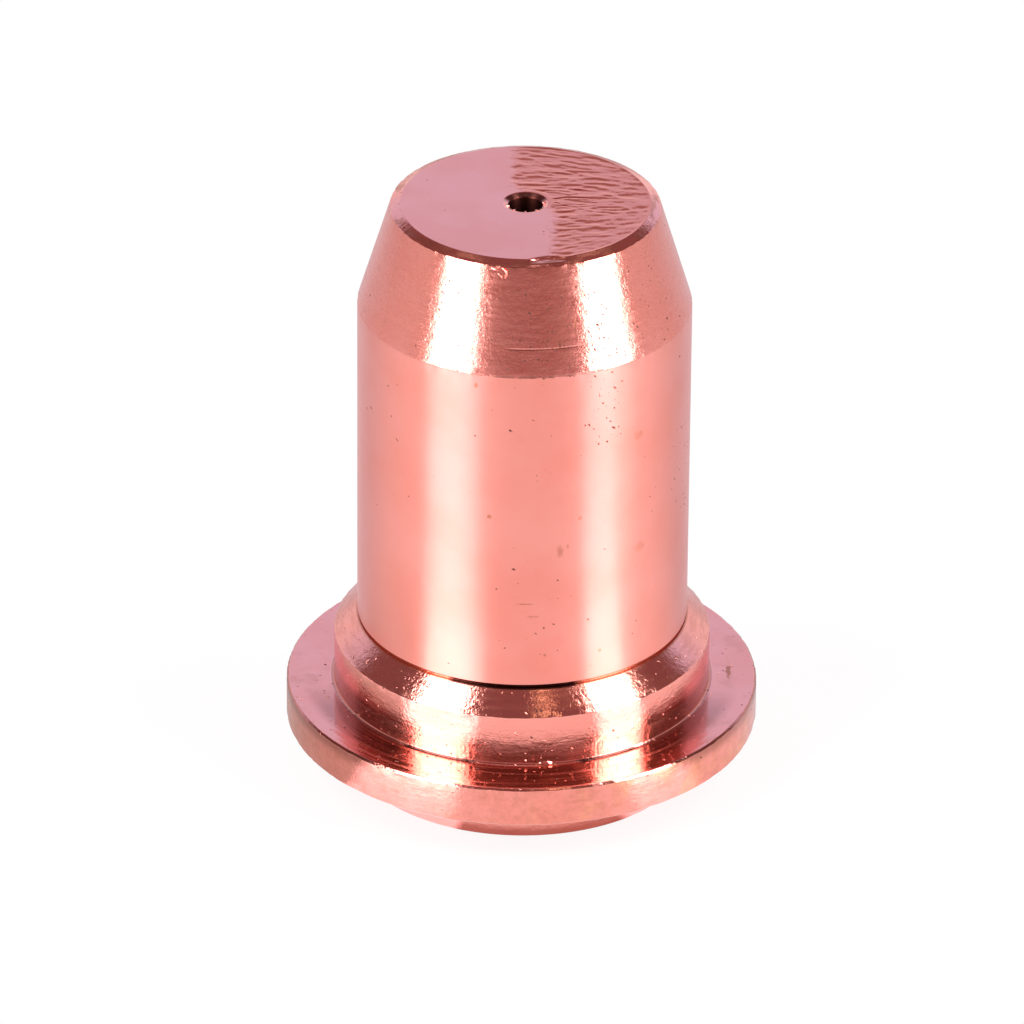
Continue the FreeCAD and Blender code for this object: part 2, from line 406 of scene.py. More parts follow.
circle = add(lathe, "GeometryNodeCurvePrimitiveCircle", mode="RADIUS")
feed(lathe, circle.inputs["Resolution"], given.outputs["Points Around"])
circle.inputs["Radius"].default_value = 1.0
here = add(lathe, "GeometryNodeInputPosition").outputs["Position"]
round_path, direction = captured(circle.outputs["Curve"], here)
section_path, profile = captured(given.outputs["Section"], here)
sweep = add(lathe, "GeometryNodeCurveToMesh")
feed(lathe, sweep.inputs["Curve"], round_path)
feed(lathe, sweep.inputs["Profile Curve"], section_path)
print("the sweep joins", circle.bl_idname, "and the section")

# %% [markdown]
# ## Where a point is
# The marks need each point's radius and height in the section, its angle round the axis, and
# its place across the flat face, all in millimetres.

# %% Measure each point
profile_radius, profile_height, _ = parted(lathe, profile)
radius_mm = product(lathe, profile_radius, 1 / MM)
height_mm = product(lathe, profile_height, 1 / MM)
east, north, _ = parted(lathe, direction)
angle = turn_angle(lathe, east, north)
across_mm = product(lathe, east, radius_mm)
along_mm = product(lathe, north, radius_mm)
print("fields: radius, height, angle, across, along")

# %% [markdown]
# ## Chatter on the flat face
# Half of the face is mirror smooth. Over the other half the facing tool shook, and left fine
# ripples that run side to side, join, part, and close up slightly towards the right. A noise
# that is stretched along the ripples does just that. It is only some hundredths of a
# millimetre deep, and it only cuts down, so the face stays at the nozzle's full height. The
# ragged line between the halves slants: one ramp gives its place across for each place along.

# %% Ripples
FAN_X = 14.0
RIPPLES_PER_MM = 5.0
RIPPLE_STRETCH = 1.2
RIPPLE_SEED = 3.7
from_fan = maths(lathe, "SUBTRACT", FAN_X, across_mm)
fan_angle = maths(lathe, "ARCTAN2", along_mm, from_fan)
fan_mm = product(lathe, fan_angle, FAN_X)
ripple_place = joined(lathe, product(lathe, across_mm, RIPPLE_STRETCH),
                      product(lathe, fan_mm, RIPPLES_PER_MM), RIPPLE_SEED)
ripples = ramp(lathe, noise(lathe, ripple_place, 1.0, detail=3.0, distortion=0.9), 0.3, 0.7)
print("ripples:", RIPPLES_PER_MM, "for each millimetre")

# %% Chatter field
SHAKEN_FROM_ALONG = (-0.9, 1.3)
SHAKEN_FROM_ACROSS = (0.25, -0.95)
RAGGED_PER_MM = 3.0
RAGGED_SEED = 9.1
ragged_place = joined(lathe, 0.0, product(lathe, fan_mm, RAGGED_PER_MM), RAGGED_SEED)
edge_line = ramp(lathe, along_mm, *SHAKEN_FROM_ALONG, *SHAKEN_FROM_ACROSS)
edge_line = maths(lathe, "ADD", noise(lathe, ragged_place, 1.0, detail=3.0), edge_line)
right_half = ramp(lathe, maths(lathe, "SUBTRACT", across_mm, edge_line), 0.0, 0.3)
on_face = product(lathe, window(lathe, radius_mm, MOUTH_R + 0.2, FACE_R - 0.08, 0.08),
                  maths(lathe, "GREATER_THAN", height_mm, TOP - 0.005))
chatter_mm = product(lathe, maths(lathe, "SUBTRACT", ripples, 1.0), right_half, on_face,
                     given.outputs["Chatter Depth"])
print("chatter lies right of", SHAKEN_FROM_ACROSS, "mm at", SHAKEN_FROM_ALONG, "mm")

# %% [markdown]
# ## A nick in the bevel
# Something struck the edge of the flat face at the front. It left a small flat step in the
# bevel, shaped like an almond. Within the almond, every point moves to one level.

# %% Nick field
NICK_ANGLE = 10.0
NICK_HALF_ANGLE = 9.0
NICK_INNER_R = 3.62
NICK_OUTER_R = 3.97
NICK_BEND = 0.2
nick_share = maths(lathe, "DIVIDE", maths(lathe, "SUBTRACT", angle, NICK_ANGLE), NICK_HALF_ANGLE)
nick_share = product(lathe, nick_share, nick_share)
nick_inner = maths(lathe, "MULTIPLY_ADD", nick_share, NICK_BEND, NICK_INNER_R)
in_nick = product(lathe, ramp(lathe, nick_share, 0.6, 1.0, 1.0, 0.0),
                  ramp(lathe, maths(lathe, "SUBTRACT", radius_mm, nick_inner), -0.02, 0.03),
                  maths(lathe, "LESS_THAN", radius_mm, NICK_OUTER_R))
nick_floor = maths(lathe, "SUBTRACT", TOP, given.outputs["Nick Depth"])
on_top = maths(lathe, "GREATER_THAN", height_mm, TOP - BEVEL_DROP - 0.1)
nick_mm = product(lathe, maths(lathe, "SUBTRACT", nick_floor, height_mm), in_nick, on_top)
print("nick at", NICK_ANGLE, "degrees")

# %% [markdown]
# ## Worn edges
# A bare edge of soft copper is never a clean circle: handling rounds it here and there. A
# fast noise round the axis pulls the edges in by a hundredth of a millimetre, which breaks
# the bright line along the rim, the collar, the crest and the face into short glints.

# %% Wear field
WORN_EDGES = [
    # Height, reach up and down, least radius, and share of the full wear.
    (RIM_HIGH, 0.08, RIM_R - 0.1, 1.0),
    (RIM_LOW, 0.08, RIM_R - 0.1, 1.0),
    (COLLAR_HIGH, 0.05, COLLAR_R - 0.1, 0.9),
    (BARREL_HIGH, 0.04, BARREL_R - 0.1, 0.5),
    (TOP - BEVEL_DROP, 0.07, NOSE_END_R - 0.05, 0.9),
]
BITES_ROUND = 20.0
BITES_PER_MM = 3.0
swirl = joined(lathe, product(lathe, east, BITES_ROUND),
               product(lathe, north, BITES_ROUND),
               product(lathe, height_mm, BITES_PER_MM))
bites = ramp(lathe, noise(lathe, swirl, 1.0, detail=3.0, roughness=0.7), 0.42, 0.72)
worn = []
for height, reach, least_radius, amount in WORN_EDGES:
    near = window(lathe, height_mm, height - reach / 3, height + reach / 3, reach)
    outside = maths(lathe, "GREATER_THAN", radius_mm, least_radius)
    worn.append(product(lathe, near, outside, amount))
wear_mm = product(lathe, greatest(lathe, *worn), bites, given.outputs["Edge Wear"])
print(len(WORN_EDGES), "worn edges")

# %% [markdown]
# ## Where the scored line ends
# The section has the scored line all the way round, but the real line covers only the front's
# right side. Everywhere else the groove is filled again, by its own depth at each height.

# %% Fill the score
SCORE_ANGLES = (-2, 34)
SCORE_FADE = 6
from_score = maths(lathe, "ABSOLUTE", maths(lathe, "SUBTRACT", height_mm, SCORE_FLOOR.y))
score_mm = ramp(lathe, from_score, 0, SCORE_HIGH.y - SCORE_FLOOR.y, SCORE_DEPTH, 0.0)
unscored = maths(lathe, "SUBTRACT", 1.0, window(lathe, angle, *SCORE_ANGLES, SCORE_FADE))
unscored = product(lathe, unscored, maths(lathe, "GREATER_THAN", radius_mm, NOSE_END_R))
filled_mm = product(lathe, score_mm, unscored)
print("scored line from", SCORE_ANGLES[0], "to", SCORE_ANGLES[1], "degrees")

# %% [markdown]
# ## Placing every point
# Radius and height are now known with all their marks, so one Set Position puts each point in
# its place.

# %% Set every point
final_radius = maths(lathe, "SUBTRACT", radius_mm, maths(lathe, "SUBTRACT", wear_mm, filled_mm))
final_height = maths(lathe, "ADD", height_mm, maths(lathe, "ADD", chatter_mm, nick_mm))
ring_place = joined(lathe, product(lathe, east, final_radius),
                    product(lathe, north, final_radius), final_height)
turned = add(lathe, "GeometryNodeSetPosition")
feed(lathe, turned.inputs["Geometry"], sweep.outputs["Mesh"])
feed(lathe, turned.inputs["Position"], scaled(lathe, ring_place, MM))
print("one Set Position for", AROUND, "points round the axis")

# %% [markdown]
# ## The burr and the drops
# The knock that made the nick also pushed out a burr: a few curls of metal that stand just
# off the nose below the bevel. Round the near side of the orifice's mouth lie five more drops
# of metal. Each is a short curve with a round section, joined to the skin. The curls' points
# are given by angle, height below the top, and stand-off from the wall, the drops' points by
# their distance inside the mouth's edge and their height below the top.

# %% Curls of burr
BURR_CURLS = [
    # Start, middle and end as (angle, drop, stand-off), and the radius of the section.
    ((-14.2, 0.19, 0.00), (-11.8, 0.24, 0.08), (-9.8, 0.20, 0.02), 0.030),
    ((-9.4, 0.17, 0.02), (-6.6, 0.24, 0.13), (-8.1, 0.44, 0.02), 0.028),
    ((-11.2, 0.33, 0.00), (-10.0, 0.37, 0.06), (-9.2, 0.45, 0.00), 0.020),
]


def off_nose(turn, drop, stand_off):
    """A point beside the nose's wall, in metres."""
    wall = on_nose(TOP - drop, -stand_off)
    turn = math.radians(turn)
    return (wall.x * math.sin(turn) * MM, -wall.x * math.cos(turn) * MM, wall.y * MM)


wires = [([off_nose(*place) for place in places], thickness)
         for *places, thickness in BURR_CURLS]
print(len(BURR_CURLS), "curls of burr")

# %% Drops in the mouth
LIP_DROP_ANGLES = (-75, -38, 0, 36, 100)
LIP_DROP_PATH = ((0.055, 0.045), (0.1, 0.042), (0.16, 0.075))
LIP_DROP_RADIUS = 0.036


def in_mouth(turn, inset, drop):
    """A point in the orifice's mouth, in metres."""
    turn, radius = math.radians(turn), MOUTH_R - inset
    return (radius * math.sin(turn) * MM, -radius * math.cos(turn) * MM, (TOP - drop) * MM)


wires += [([in_mouth(turn, *place) for place in LIP_DROP_PATH], LIP_DROP_RADIUS)
          for turn in LIP_DROP_ANGLES]
print(len(LIP_DROP_ANGLES), "drops in the mouth")

# %% Join them to the skin
BEND_POINTS = 10
ROUND_POINTS = 8
pieces = add(lathe, "GeometryNodeJoinGeometry")
feed(lathe, pieces.inputs["Geometry"], turned.outputs["Geometry"])
for places, thickness in wires:
    curl = add(lathe, "GeometryNodeCurveQuadraticBezier")
    curl.inputs["Resolution"].default_value = BEND_POINTS
    for socket, place in zip(("Start", "Middle", "End"), places):
        curl.inputs[socket].default_value = place
    section = add(lathe, "GeometryNodeCurvePrimitiveCircle", mode="RADIUS")
    section.inputs["Resolution"].default_value = ROUND_POINTS
    section.inputs["Radius"].default_value = thickness * MM
    wire = add(lathe, "GeometryNodeCurveToMesh")
    feed(lathe, wire.inputs["Curve"], curl.outputs["Curve"])
    feed(lathe, wire.inputs["Profile Curve"], section.outputs["Curve"])
    wire.inputs["Fill Caps"].default_value = True
    feed(lathe, pieces.inputs["Geometry"], wire.outputs["Mesh"])
print(len(wires), "short wires joined to the skin")

# %% [markdown]
# ## Three finishes by zone
# A lathe leaves a different surface on the walls, on the flats and in the bore, so three
# materials are set by zone. The tree ends in a plain mesh with its materials.

# %% Make it one smooth mesh
realised = add(lathe, "GeometryNodeRealizeInstances")
feed(lathe, realised.inputs["Geometry"], pieces.outputs["Geometry"])
smooth = add(lathe, "GeometryNodeSetShadeSmooth")
feed(lathe, smooth.inputs["Geometry"], realised.outputs["Geometry"])
print("instances are real, faces are smooth")

# %% Zones of the three finishes
FLAT_TOLERANCE = 0.004
FACE_TOLERANCE = 0.006
NO_PROFILE_R = 0.1


def flat_at(height, least_radius):
    """One on the flat ring at this height, outside the least radius."""
    gap = maths(lathe, "ABSOLUTE", maths(lathe, "SUBTRACT", height_mm, height))
    return product(lathe, maths(lathe, "LESS_THAN", gap, FLAT_TOLERANCE),
                   maths(lathe, "GREATER_THAN", radius_mm, least_radius))


flats = maths(lathe, "GREATER_THAN", height_mm, TOP - FACE_TOLERANCE)
for height, least_radius in ((0, CHAMBER_R + CHAMBER_LOW - SHARP),
                             (FLANGE_BOTTOM, SPIGOT_R + ROOT_FILLET - CRISP),
                             (FLANGE_TOP, COLLAR_R + ROOT_FILLET - CRISP)):
    flats = greatest(lathe, flats, flat_at(height, least_radius))
# The wires have no place in the section, so their radius reads 0, and they count as turned.
inside = product(lathe, maths(lathe, "LESS_THAN", radius_mm, CHAMBER_R + CHAMBER_LOW - CRISP),
                 maths(lathe, "LESS_THAN", height_mm, ORIFICE_HIGH + CRISP),
                 maths(lathe, "GREATER_THAN", radius_mm, NO_PROFILE_R))
print("zones: turned, faced, bored")

# %% Close the tree
surface = smooth.outputs["Geometry"]
for finish, zone in (("Turned Finish", True), ("Faced Finish", flats), ("Bored Finish", inside)):
    zoned = add(lathe, "GeometryNodeSetMaterial")
    feed(lathe, zoned.inputs["Geometry"], surface)
    feed(lathe, zoned.inputs["Selection"], zone)
    feed(lathe, zoned.inputs["Material"], given.outputs[finish])
    surface = zoned.outputs["Geometry"]
feed(lathe, made.inputs["Geometry"], surface)
print("lathe tree has", len(lathe.nodes), "nodes")

# %% [markdown]
# ## Copper and its colours
# Copper is a metal, so its colour is the colour of its reflections. The bare metal varies a
# little from place to place, goes brown where fingers or heat touched it, and is almost black
# in the bottom of a pit. The same brown is painted as shade in the undercut and on the
# shoulder's far sides. A near black is painted as shade in the orifice and on the far side of
# its mouth, in the collar's root and round its foot, in the undercut, and on the flange beside
# the collar. Where the tool shook it is duller and redder, and a thin film turns part of the
# rim orange.

# %% Copper colours
COPPER_LIGHT = (0.965, 0.375, 0.315, 1.0)
COPPER_DEEP = (0.94, 0.335, 0.27, 1.0)
# This brown is real tarnish, and also painted shade where the shade masks use it.
TARNISH_AND_SHADE = (0.52, 0.17, 0.10, 1.0)
SCUFFED = (0.84, 0.25, 0.175, 1.0)
ORANGE_FILM = (0.95, 0.40, 0.25, 1.0)
PIT_BOTTOM = (0.21, 0.085, 0.07, 1.0)
# This near black is painted shade.
SHADE_BLACK = (0.07, 0.018, 0.014, 1.0)


def mixed(tree, share, first, second):
    """Mix two colours."""
    node = add(tree, "ShaderNodeMix", data_type="RGBA")
    feed(tree, node.inputs[0], share)
    feed(tree, node.inputs[6], first)
    feed(tree, node.inputs[7], second)
    return node.outputs[2]


print("copper between", COPPER_LIGHT[:3], "and", COPPER_DEEP[:3])

# %% [markdown]
# ## Places on the metal
# Every pattern is drawn in Object coordinates, turned into millimetres. From them come the
# radius, the angle round the axis, how far that angle lies off the front on either side, and
# the rise above the flange's front, from which the marks are measured. Streaks are a noise
# that is long round the axis and short along it, which is what a lathe's marks are.

# %% Place fields for the finishes


def place_fields(tree):
    """Object place in millimetres, and what follows from it."""
    coordinates = add(tree, "ShaderNodeTexCoord")
    place = scaled(tree, coordinates.outputs["Object"], 1 / MM)
    x, y, z = parted(tree, place)
    angle = turn_angle(tree, x, y)
    return {"place": place, "x": x, "y": y, "height": z,
            "grain": noise(tree, place, 5.0, detail=3.0, roughness=0.75),
            "rise": maths(tree, "SUBTRACT", z, FLANGE_TOP),
            "radius": length(tree, joined(tree, x, y, 0.0)),
            "angle": angle, "off_front": maths(tree, "ABSOLUTE", angle)}


def streaks(tree, fields, round_per_mm, up_per_mm, detail=3.0):
    """A noise with its own density round the axis and along it."""
    place = joined(tree, product(tree, fields["x"], round_per_mm),
                   product(tree, fields["y"], round_per_mm),
                   product(tree, fields["height"], up_per_mm))
    return noise(tree, place, 1.0, detail=detail, roughness=0.65)


def rings(tree, fields, per_mm, drift=0.02):
    """A noise of the radius, almost the same all the way round."""
    place = joined(tree, fields["radius"], product(tree, fields["x"], drift),
                   product(tree, fields["y"], drift))
    return noise(tree, place, per_mm)


print("streaks run round the walls, rings across the flats")

# %% [markdown]
# ## Pits and beads
# Copper is soft, so chips and dust press small pits into it, and small beads of metal stay
# on parts that nothing rubs. A Voronoi pattern, unrolled from the wall, gives each cell one
# point and one random colour: the point becomes a pit or a bead if the colour says so. They
# are few, except in the places where the photograph shows many.

# %% Where the pits are
CELLS_PER_MM = 7.5
PIT_CLUSTERS = [
    # Angles, rises above the flange's front, and how many of the cells there hold a pit.
    ((4, 34), (12.8, 15.4), 0.70),
    ((34, 58), (12.9, 15.6), 0.30),
    ((-40, 4), (12.9, 15.2), 0.28),
    ((26, 32), (10.2, 12.6), 0.40),
    ((66, 86), (5.9, 9.7), 0.25),
    ((-10, 14), (3.1, 6.3), 0.04),
    ((-75, 75), (1.7, 2.2), 0.06),
    ((-90, 90), (-0.3, 0.5), 0.06),
]
FEW_PITS = 0.008
BEAD_SHARE = 0.10
BEAD_RISES = (-0.1, 2.1)
SMALLEST_PIT = 0.13
PIT_GROWTH = 0.24
print(len(PIT_CLUSTERS), "clusters of pits")

# %% Pit field
WALL_MM_PER_DEGREE = math.radians(1) * BARREL_R


def pit_field(tree, fields, unrolled=True):
    """Two fields: one in a pit, and one on a bead, with nothing elsewhere."""
    u, v = fields["x"], fields["y"]
    if unrolled:
        u = product(tree, fields["angle"], WALL_MM_PER_DEGREE)
        v = fields["height"]
    cells = add(tree, "ShaderNodeTexVoronoi", voronoi_dimensions="2D", feature="F1")
    u = maths(tree, "MULTIPLY_ADD", fields["grain"], 0.25, u)
    v = maths(tree, "MULTIPLY_ADD", fields["grain"], -0.2, v)
    feed(tree, cells.inputs["Vector"], joined(tree, u, v, 0.0))
    cells.inputs["Scale"].default_value = CELLS_PER_MM
    chance, size, _ = parted(tree, cells.outputs["Color"])
    share = FEW_PITS
    for angles, rises, density in PIT_CLUSTERS:
        crowded = product(tree, window(tree, fields["angle"], *angles, 6),
                          window(tree, fields["rise"], *rises, 0.2), density)
        share = greatest(tree, share, crowded)
    reach = maths(tree, "MULTIPLY_ADD", maths(tree, "POWER", size, 3.0), PIT_GROWTH, SMALLEST_PIT)
    depth = maths(tree, "SUBTRACT", reach, cells.outputs["Distance"])
    has_pit = maths(tree, "LESS_THAN", chance, share)
    has_bead = maths(tree, "GREATER_THAN", chance, 1.0 - BEAD_SHARE)
    pits = product(tree, has_pit, ramp(tree, depth, 0.0, 0.16))
    beads = product(tree, has_bead, window(tree, fields["rise"], *BEAD_RISES, 0.1),
                    ramp(tree, depth, 0.0, 0.5))
    return pits, beads


print("cells of", round(1 / CELLS_PER_MM, 3), "mm, each with a pit, a bead or nothing")

# %% [markdown]
# ## Stains and scratches
# A few marks are large enough to be known one by one: brown smudges beside the right
# highlight and on the rim, spots and short scratches on the barrel and the nose. Each is an
# ellipsoid set on the metal by a Mapping node, which turns the place into the mark's own
# units, so that the mark is where the length is less than one. `spot` is used again below
# for a smear on the flange's front and for a small drop of metal at the collar's foot.

# %% Where the marks are
MARKS = [
    # Angle, rise, radius, half width, half height, strength.
    (-11.6, 8.04, BARREL_R, 0.09, 0.08, 0.8),
    (19.8, 7.90, BARREL_R, 0.07, 0.08, 0.6),
    (12.8, 6.87, BARREL_R, 0.12, 0.20, 0.5),
    (15.5, 7.00, BARREL_R, 0.06, 0.10, 0.4),
    (44.4, 6.39, BARREL_R, 0.26, 0.20, 0.35),
    (0.9, 5.13, BARREL_R, 0.30, 0.03, 0.6),
    (3.5, 4.70, BARREL_R, 0.20, 0.04, 0.4),
    (-16.4, 12.37, BARREL_R, 0.07, 0.10, 0.8),
    (42.6, 10.15, BARREL_R, 0.20, 0.20, 0.5),
    (27.8, 3.26, BARREL_R, 0.07, 0.07, 0.7),
    (7.9, 3.37, BARREL_R, 0.07, 0.07, 0.7),
    (12.8, 13.62, 4.72, 0.04, 0.34, 0.8),
    (14.4, 13.75, 4.68, 0.03, 0.26, 0.6),
    (19.1, 14.20, 4.54, 0.04, 0.36, 0.7),
    (38.0, -0.55, RIM_R, 0.50, 0.30, 0.45),
    (24.0, -0.85, RIM_R, 0.34, 0.16, 0.40),
    (14.0, -0.50, RIM_R, 0.60, 0.12, 0.40),
    (3.5, -0.70, RIM_R, 0.22, 0.14, 0.35),
    (-19.0, -0.95, RIM_R, 0.05, 0.05, 0.9),
]
print(len(MARKS), "marks placed by hand")

# %% Mark field


def spot(tree, fields, angle, rise, radius, half_sizes):
    """How far out of an ellipsoid on the metal a place is. Inside it is less than one."""
    turn = math.radians(angle)
    mapping = add(tree, "ShaderNodeMapping", vector_type="TEXTURE")
    feed(tree, mapping.inputs["Vector"], fields["place"])
    mapping.inputs["Location"].default_value = (
        radius * math.sin(turn), -radius * math.cos(turn), FLANGE_TOP + rise)
    mapping.inputs["Rotation"].default_value = (0, 0, turn)
    mapping.inputs["Scale"].default_value = half_sizes
    return length(tree, mapping.outputs["Vector"])


def mark_field(tree, fields):
    """Strength of the strongest listed mark, with ragged edges."""
    ragged = noise(tree, fields["place"], 6.0, detail=3.0)
    marks = []
    for angle, rise, radius, half_width, half_height, strength in MARKS:
        reach = spot(tree, fields, angle, rise, radius, (half_width, 1.0, half_height))
        reach = maths(tree, "MULTIPLY_ADD", ragged, 1.6, reach)
        marks.append(ramp(tree, reach, 1.1, 1.9, strength, 0.0))
    return greatest(tree, *marks)


print("a mark is an ellipsoid with ragged edges")

# %% [markdown]
# ## One recipe for three finishes
# The turned walls, the faced flats and the bore share one recipe. Their grooves run round the
# axis and spread a reflection across themselves but not along, so the shader is anisotropic
# with a tangent that circles Z. What differs is how rough the cut is, how deep its rings are,
# how dark the metal is made by dirt and by painted shade, and what stains lie on it. A pit and
# a darkened place are also duller than the metal round them.

# %% Copper recipe
DULLED_BY_DIRT = 0.15
DULLED_BY_PITS = 0.6
BEAD_HEIGHT = 0.03


def start_copper(name, roughness, anisotropy):
    """A metal shader whose grooves circle the axis."""
    material = bpy.data.materials.new(name)
    material.use_nodes = True
    tree = material.node_tree
    shader = tree.nodes["Principled BSDF"]
    shader.inputs["Metallic"].default_value = 1.0
    shader.inputs["Roughness"].default_value = roughness
    shader.inputs["Anisotropic"].default_value = anisotropy
    shader.inputs["Anisotropic Rotation"].default_value = 0.25
    tangent = add(tree, "ShaderNodeTangent", direction_type="RADIAL", axis="Z")
    feed(tree, shader.inputs["Tangent"], tangent.outputs["Tangent"])
    return material, tree, shader


def dress_copper(tree, shader, fields, roughness, darkness, pits, relief_mm, painted_shade=0.0,
                 stained=0.0, stain=SCUFFED):
    """Link colour, roughness and bump. The shares of dirt and painted shade, pits, painted
    near-black shade and stain end at one.
    """
    drift = ramp(tree, noise(tree, fields["place"], 0.5, detail=3.0), 0.3, 0.7)
    colour = mixed(tree, drift, COPPER_LIGHT, COPPER_DEEP)
    colour = mixed(tree, stained, colour, stain)
    # The brown share is dirt, and on the turned walls also painted shade.
    colour = mixed(tree, darkness, colour, TARNISH_AND_SHADE)
    colour = mixed(tree, pits, colour, PIT_BOTTOM)
    # The near-black share is painted shade.
    feed(tree, shader.inputs["Base Color"], mixed(tree, painted_shade, colour, SHADE_BLACK))
    uneven = maths(tree, "MULTIPLY_ADD", darkness, DULLED_BY_DIRT, roughness)
    uneven = maths(tree, "MULTIPLY_ADD", pits, DULLED_BY_PITS, uneven)
    feed(tree, shader.inputs["Roughness"], uneven)
    bump = add(tree, "ShaderNodeBump")
    bump.inputs["Distance"].default_value = MM
    feed(tree, bump.inputs["Height"], relief_mm)
    feed(tree, shader.inputs["Normal"], bump.outputs["Normal"])


print("one recipe: a metal whose grooves circle the axis")

# %% [markdown]
# ## The turned walls
# The barrel is rubbed smooth. The nose, the shoulder, the collar and the rim still show the
# tool's streaks. Gloss, dirt, painted shade and relief all change from zone to zone, so the
# zones come first: each field is one in its zone and nothing elsewhere.

# %% Zones of the walls
TURNED_ROUGHNESS = 0.25
turned_copper, tree, shader = start_copper("turned_copper", TURNED_ROUGHNESS, 0.8)
fields = place_fields(tree)
is_low = maths(tree, "LESS_THAN", fields["height"], BARREL_LOW)
on_barrel = window(tree, fields["height"], BARREL_LOW, BARREL_HIGH - 0.03, 0.02)
on_nose_wall = window(tree, fields["height"], BARREL_HIGH, TOP - BEVEL_DROP, 0.01)
on_bevel = product(tree, maths(tree, "GREATER_THAN", fields["radius"], FACE_R - 0.1),
                   maths(tree, "GREATER_THAN", fields["height"], TOP - BEVEL_DROP - 0.02))
groove_low = BARREL_LOW - RELIEF_WIDTH
undercut = window(tree, fields["height"], groove_low - 0.02, BARREL_LOW - 0.01, 0.02)
shoulder = window(tree, fields["height"], COLLAR_HIGH + 0.04, groove_low - 0.03, 0.03)
collar_foot = window(tree, fields["rise"], 0.12, 0.55, 0.15)
root = product(tree, window(tree, fields["rise"], -0.01, 0.06, 0.02),
               maths(tree, "LESS_THAN", fields["radius"], COLLAR_R + ROOT_FILLET))
on_rim = maths(tree, "GREATER_THAN", fields["radius"], RIM_R - 0.03)
print("zones: barrel, nose, bevel, undercut, shoulder, collar's foot, root and rim")

# %% [markdown]
# ## Gloss of the walls
# The low walls are the glossiest, and so is the bevel, which was cut last. The streaks change
# in gloss as well, so that a highlight frays at its sides. On the rubbed barrel they hardly
# do, so its two white strips keep soft, straight sides.

# %% Gloss
BARREL_ROUGHNESS = 0.29
LOW_ROUGHNESS = 0.15
BEVEL_ROUGHNESS = 0.11
FOOT_DULLNESS = 0.06
STREAK_GLOSS = 0.24
BARREL_STREAK_GLOSS = 0.0384
streak = streaks(tree, fields, 1.1, 8.0)
fray = ramp(tree, on_barrel, 0, 1, STREAK_GLOSS, BARREL_STREAK_GLOSS)
roughness = ramp(tree, is_low, 0, 1, TURNED_ROUGHNESS, LOW_ROUGHNESS)
roughness = maths(tree, "MULTIPLY_ADD", on_barrel, BARREL_ROUGHNESS - TURNED_ROUGHNESS, roughness)
roughness = maths(tree, "MULTIPLY_ADD", maths(tree, "SUBTRACT", streak, 0.5), fray, roughness)
roughness = maths(tree, "MULTIPLY_ADD", collar_foot, FOOT_DULLNESS, roughness)
roughness = maths(tree, "MULTIPLY_ADD", on_bevel, BEVEL_ROUGHNESS - TURNED_ROUGHNESS, roughness)
print("roughness: barrel", BARREL_ROUGHNESS, "nose", TURNED_ROUGHNESS, "collar", LOW_ROUGHNESS)

# %% [markdown]
# ## Dirt and painted shade on the walls
# Brown dirt lies on the shoulder's streaks and a little on the nose, and the rim is mottled all
# round by handling. The bevel is darkened along its streaks. The same brown is painted as shade
# in the undercut at the barrel's foot and on the shoulder's far sides. Each is a share of the
# brown, and the strongest one at a place counts.

# %% Dirt and painted shade
SHOULDER_DIRT = 0.3
SHOULDER_SIDE_SHADE = 0.1
BEVEL_DARKENING = 0.7
NOSE_DIRT = 0.25
UNDERCUT_SHADE = 0.8
RIM_DIRT = (0.1, 0.4)
# The shoulder's streaks are dirt; its far sides are darker as painted shade.
shoulder_dirt_and_shade = greatest(tree, ramp(tree, streak, 0.4, 0.6, 0.0, SHOULDER_DIRT),
                         ramp(tree, fields["off_front"], 32, 50, 0.0, SHOULDER_SIDE_SHADE))
rim_mottle = noise(tree, fields["place"], 2.6, detail=4.0, roughness=0.7)
dirt_and_shade = greatest(
    tree,
    mark_field(tree, fields),
    product(tree, shoulder, shoulder_dirt_and_shade),
    product(tree, on_bevel, ramp(tree, streak, 0.45, 0.6, 0.0, BEVEL_DARKENING)),
    product(tree, on_nose_wall, ramp(tree, fields["grain"], 0.5, 0.75, 0.0, NOSE_DIRT)),
    product(tree, on_rim, ramp(tree, rim_mottle, 0.35, 0.7, *RIM_DIRT)),
    # The undercut's brown is painted shade in the groove.
    product(tree, undercut, UNDERCUT_SHADE))
print("dirt on the undercut, shoulder, bevel, nose and rim")

# %% [markdown]
# ## Painted shade on the walls
# A near black is painted as shade: at two places in the collar's root, in the front of the
# undercut, round the foot of the collar's far sides, and on the far side of the orifice's
# mouth.

# %% Painted shade
ROOT_SHADE_LEFT = (-36, -16)
ROOT_SHADE_RIGHT = (19, 36)
GROOVE_SHADE_ANGLES = (-24, 18)
DEEP_SHADE = 0.95
FOOT_SHADE = 0.45
MOUTH_SHADE = 0.85
# All of these are painted shade, near black.
shaded_root = greatest(tree, window(tree, fields["angle"], *ROOT_SHADE_LEFT, 3),
                 window(tree, fields["angle"], *ROOT_SHADE_RIGHT, 3))
shade_in_groove = product(tree, undercut, window(tree, fields["angle"], *GROOVE_SHADE_ANGLES, 3))
mouth_edge_shade = ramp(tree, fields["radius"], MOUTH_R, MOUTH_R + 0.03, MOUTH_SHADE, 0.0)
painted_shade = greatest(
    tree,
    product(tree, greatest(tree, product(tree, root, shaded_root), shade_in_groove), DEEP_SHADE),
    product(tree, window(tree, fields["rise"], -0.1, 0.55, 0.4),
            ramp(tree, fields["off_front"], 36, 42, 0.0, FOOT_SHADE)),
    product(tree, mouth_edge_shade, ramp(tree, fields["off_front"], 95, 125)))
print("soot in the root, the undercut, the collar's foot and the mouth")

# %% [markdown]
# ## Film and pits on the walls
# The rim's right part has an orange film in patches. The crest where the nose starts is
# chipped along its front, and its chips are as dark as the other pits.

